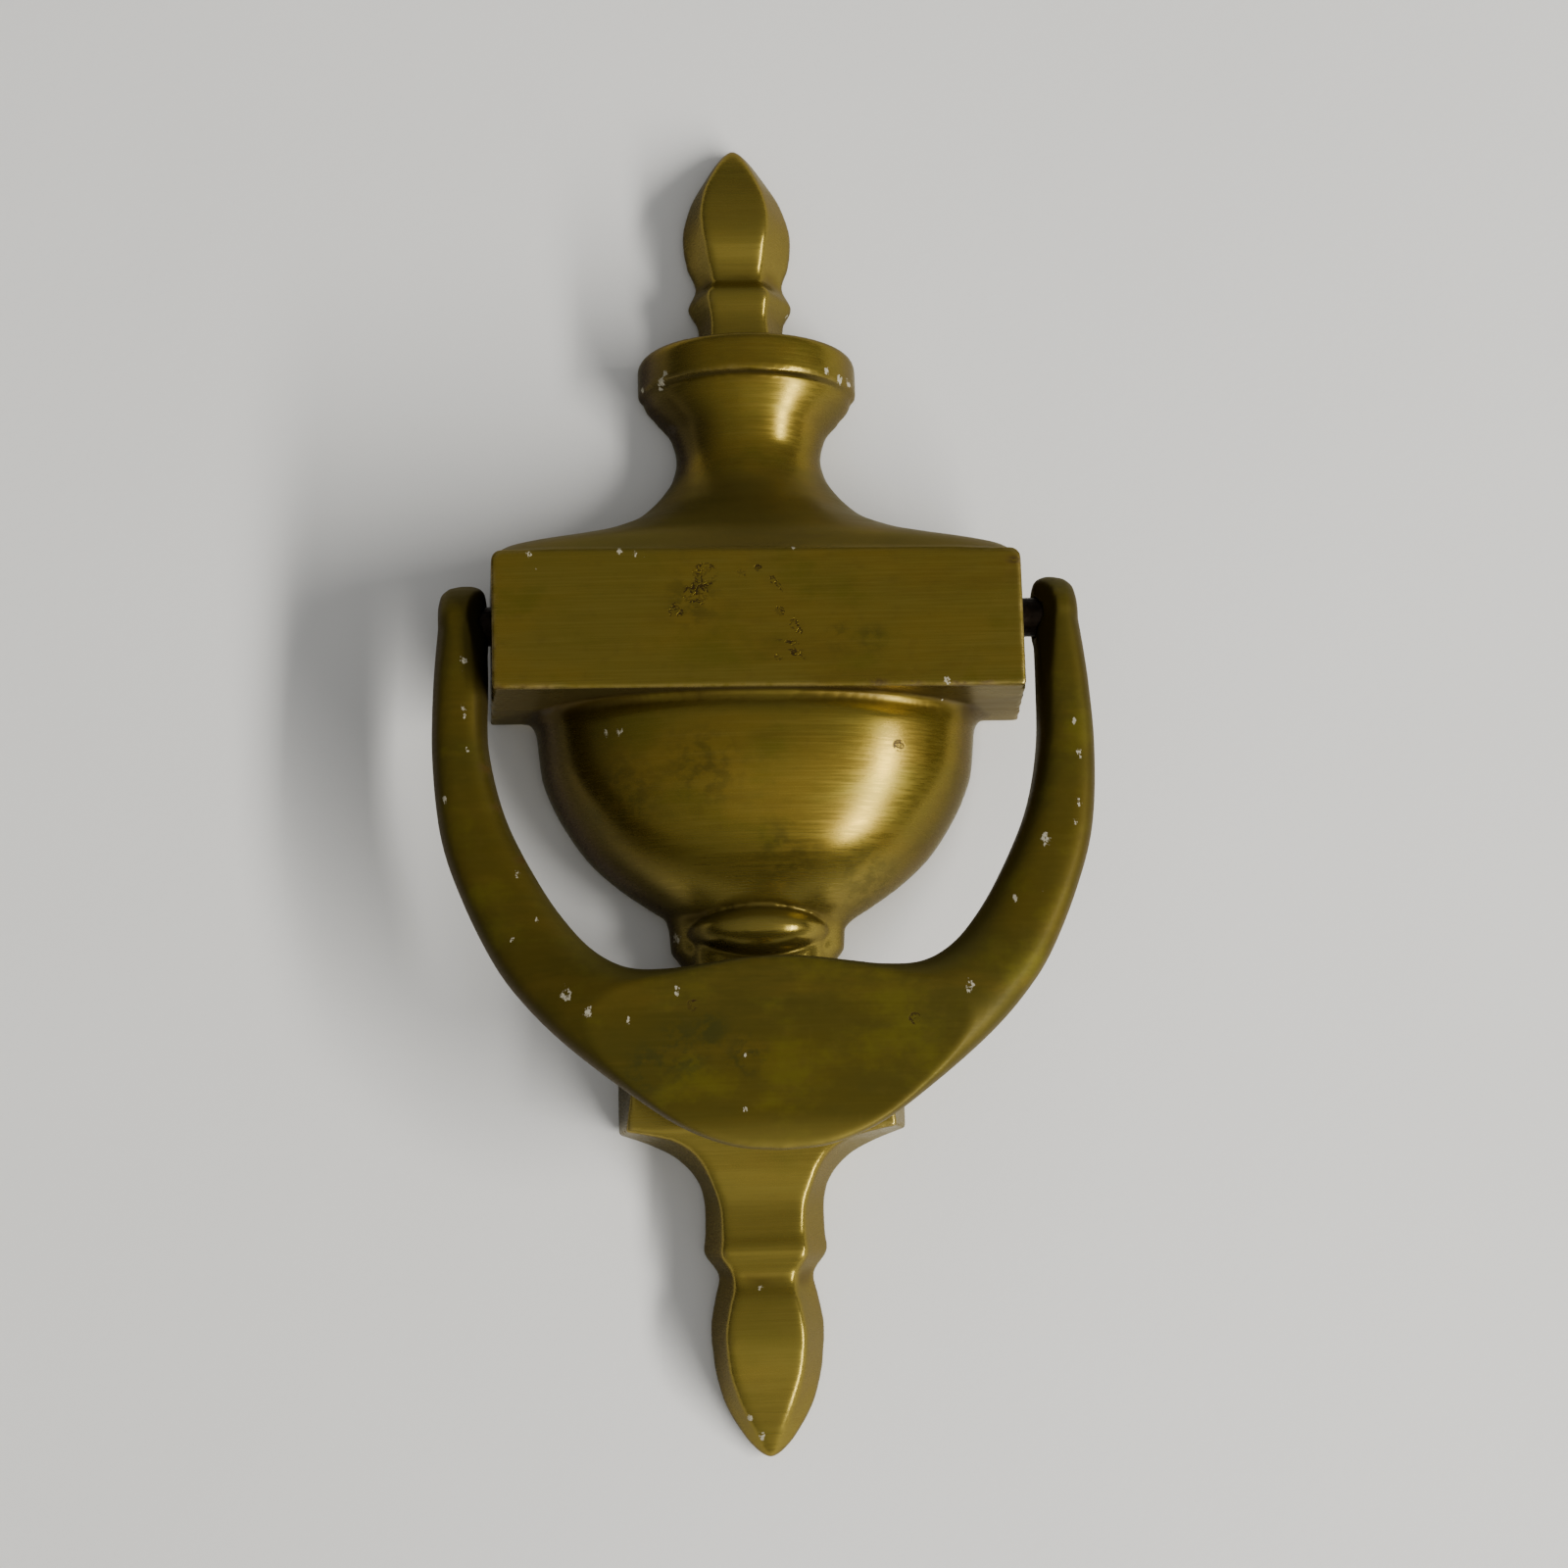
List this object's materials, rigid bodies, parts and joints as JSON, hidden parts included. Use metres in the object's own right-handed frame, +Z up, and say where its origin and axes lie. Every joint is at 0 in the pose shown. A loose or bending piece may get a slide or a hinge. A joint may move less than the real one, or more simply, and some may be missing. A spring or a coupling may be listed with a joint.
{
  "type": "door knocker",
  "caption": "Urn-shaped cast brass door knocker: faceted finials, hollow back with bolt bosses, and a loop handle that swings on pivot screws and strikes a stud.",
  "frame": {"origin": "on the flat back face of the stem, in the plane of the door, between the bosses for the door bolts", "axes": "+X across the knocker along the pivot axis, to the right as a caller sees it; +Y into the door; +Z up"},
  "size_m": [0.0985, 0.029, 0.2047],
  "materials": {
    "body_brass": "aged satin brass with fine brush lines, brown tarnish in the corners and bright worn edges",
    "handle_brass": "aged satin brass with fine brush lines and small flecks of old white paint",
    "stud_brass": "turned brass, worn bright where it strikes",
    "screw_steel": "dark oxidised steel"
  },
  "bodies": {
    "body": {"body_casting": "body_brass", "strike_stud": "stud_brass"},
    "handle": {"handle_casting": "handle_brass", "hammer_stud": "stud_brass", "pivot_screw_right": "screw_steel", "pivot_screw_left": "screw_steel"}
  },
  "joints": [
    {"name": "handle_swing", "type": "hinge", "parent": "body", "child": "handle", "pos_m": [0, -0.015, 0.0505], "axis": [-1, 0, 0], "range_deg": [0, 165]}
  ]
}
